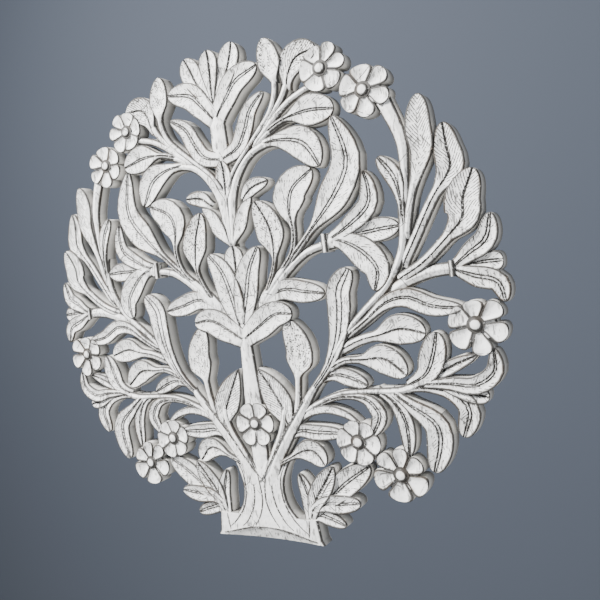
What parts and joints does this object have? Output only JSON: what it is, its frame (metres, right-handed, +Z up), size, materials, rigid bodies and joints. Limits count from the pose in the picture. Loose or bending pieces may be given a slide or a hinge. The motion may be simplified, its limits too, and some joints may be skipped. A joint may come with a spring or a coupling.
{
  "type": "carved wooden wall panel",
  "caption": "Round openwork wall panel carved from one flat board: a tree with curling boughs, leaves, tulip blooms and small flowers, whitewashed",
  "frame": {"origin": "middle of the flat back of the panel, at the centre of its round outline, where it lies against the wall", "axes": "+Z up the tree, +X to the viewer's right seen from the front, the carved front faces -Y and the flat back faces +Y"},
  "size_m": [0.617, 0.022, 0.597],
  "materials": {
    "whitewashed_wood": "matt whitewash, rubbed back to dark wood along edges and cuts"
  },
  "bodies": {
    "root": {"carved_panel": "whitewashed_wood"}
  },
  "joints": []
}
